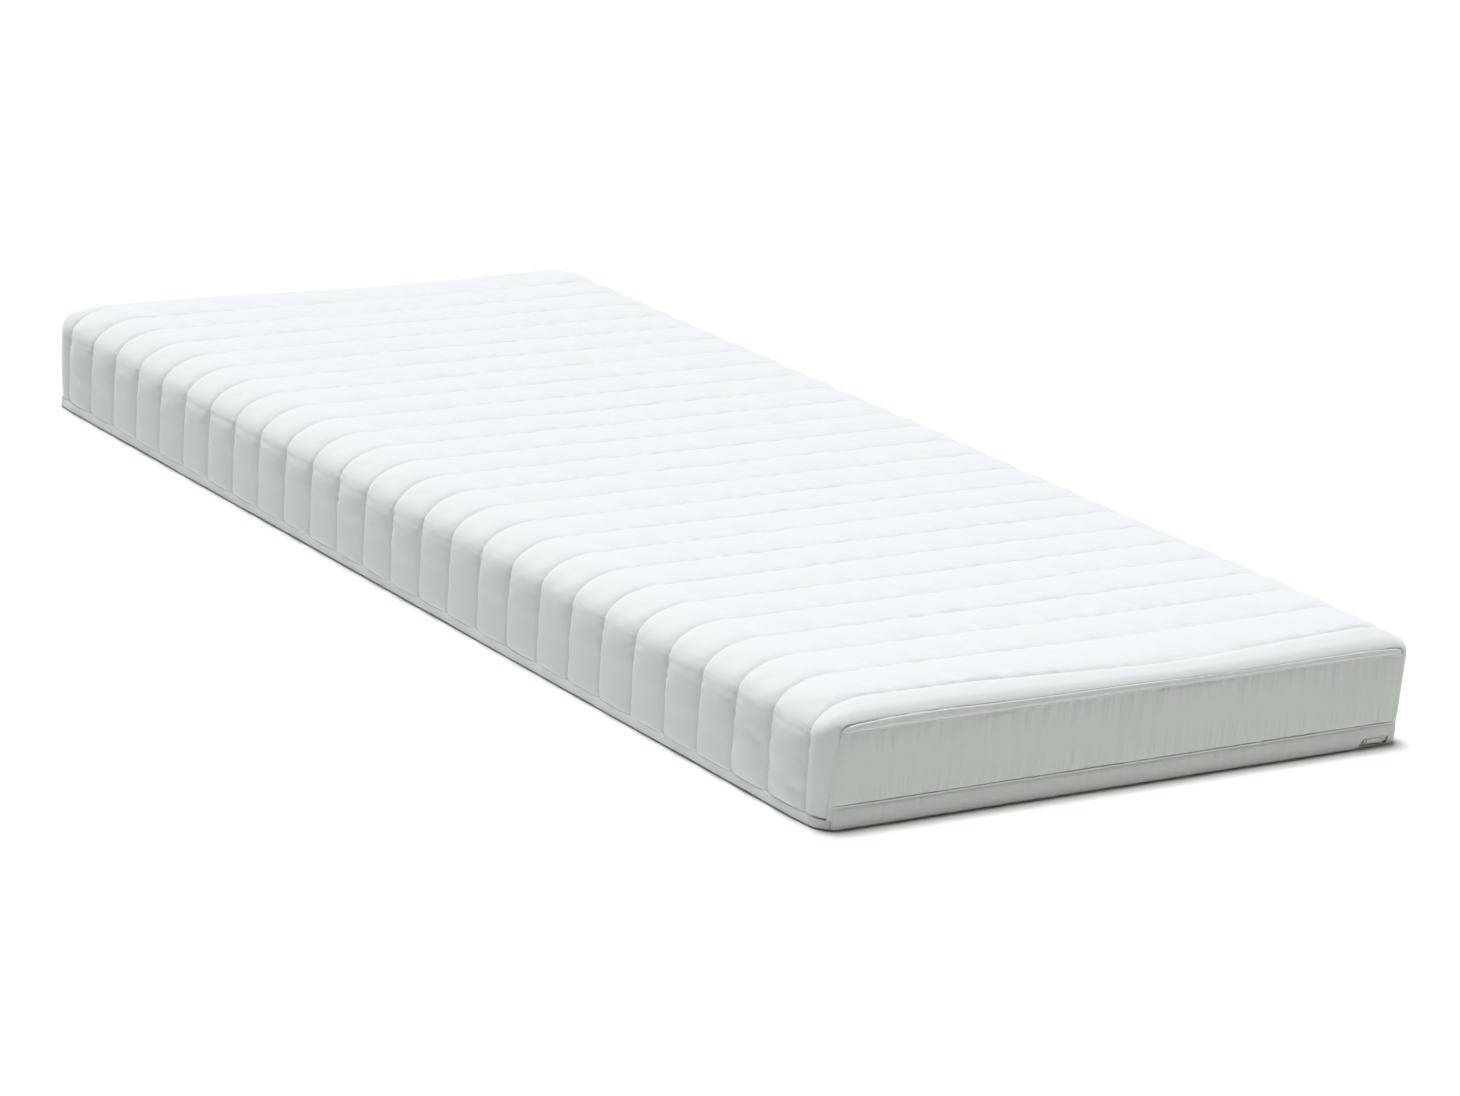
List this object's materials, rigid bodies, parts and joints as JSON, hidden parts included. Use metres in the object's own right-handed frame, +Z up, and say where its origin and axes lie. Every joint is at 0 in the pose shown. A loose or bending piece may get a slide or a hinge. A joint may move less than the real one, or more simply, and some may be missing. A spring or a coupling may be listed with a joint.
{
  "type": "memory foam mattress",
  "caption": "Single foam mattress in a removable white cover, channel-quilted over the top and long sides, with plain end panels and a zip along the foot end's lower edge.",
  "frame": {"origin": "centre of the underside, on the surface the mattress rests on", "axes": "+Z up, +Y along the length from the foot end with the zip to the head end, +X across the width to the zip slider's parked side"},
  "size_m": [0.9, 2, 0.155],
  "materials": {
    "quilt_fabric": "soft white knitted polyester with a faint velvet sheen",
    "wadding": "fluffy white polyester fibre wadding",
    "backing": "thin white non-woven",
    "thread": "white polyester sewing thread",
    "end_fabric": "off-white knitted polyester with fine upright puckers",
    "fleece": "white laminated polyester fleece",
    "seam_tape": "off-white woven seam tape",
    "border_tape": "white soft rolled edging tape",
    "base_fabric": "white woven polyester base cloth",
    "memory_foam": "slow-recovery viscoelastic foam, matt off-white",
    "support_foam": "open-cell polyurethane foam, matt pale grey-blue",
    "sock": "thin white tubular jersey",
    "zip_tape": "white woven polyester zip tape",
    "zip_teeth": "white polyester coil",
    "zip_metal": "die-cast zinc with white enamel",
    "label": "blank white satin ribbon"
  },
  "bodies": {
    "mattress": {"quilted_face_fabric": "quilt_fabric", "quilt_wadding": "wadding", "quilt_backing": "backing", "quilting_threads": "thread", "foot_end_panel": "end_fabric", "foot_end_fleece": "fleece", "foot_seam_tape": "seam_tape", "foot_hem_band": "seam_tape", "foot_topstitching": "thread", "head_end_panel": "end_fabric", "head_end_fleece": "fleece", "head_seam_tape": "seam_tape", "head_hem_band": "seam_tape", "head_topstitching": "thread", "base_fabric": "base_fabric", "left_border_tape": "border_tape", "right_border_tape": "border_tape", "head_border_tape": "border_tape", "support_foam_base": "support_foam", "memory_foam_layer": "memory_foam", "foam_sock": "sock", "zip_tape_upper": "zip_tape", "zip_teeth_upper": "zip_teeth", "zip_tape_lower": "zip_tape", "zip_teeth_lower": "zip_teeth", "zip_open_end_stop": "zip_metal", "zip_closed_end_stop": "zip_metal"},
    "slider": {"zip_slider": "zip_metal"},
    "pull_tab": {"zip_pull_tab": "zip_metal"},
    "label": {"care_label": "label"}
  },
  "joints": [
    {"name": "zip_slide", "type": "slide", "parent": "mattress", "child": "slider", "axis": [1, 0, 0], "range_m": [-0.8, 0]},
    {"name": "pull_tab_swing", "type": "hinge", "parent": "slider", "child": "pull_tab", "pos_m": [0.409, -0.99695, 0.0085], "axis": [0, 0, 1], "range_deg": [0, 150]},
    {"name": "label_flap", "type": "hinge", "parent": "mattress", "child": "label", "pos_m": [0.418, 0.99905, 0.076], "axis": [0, 0, -1], "range_deg": [0, 90]}
  ]
}
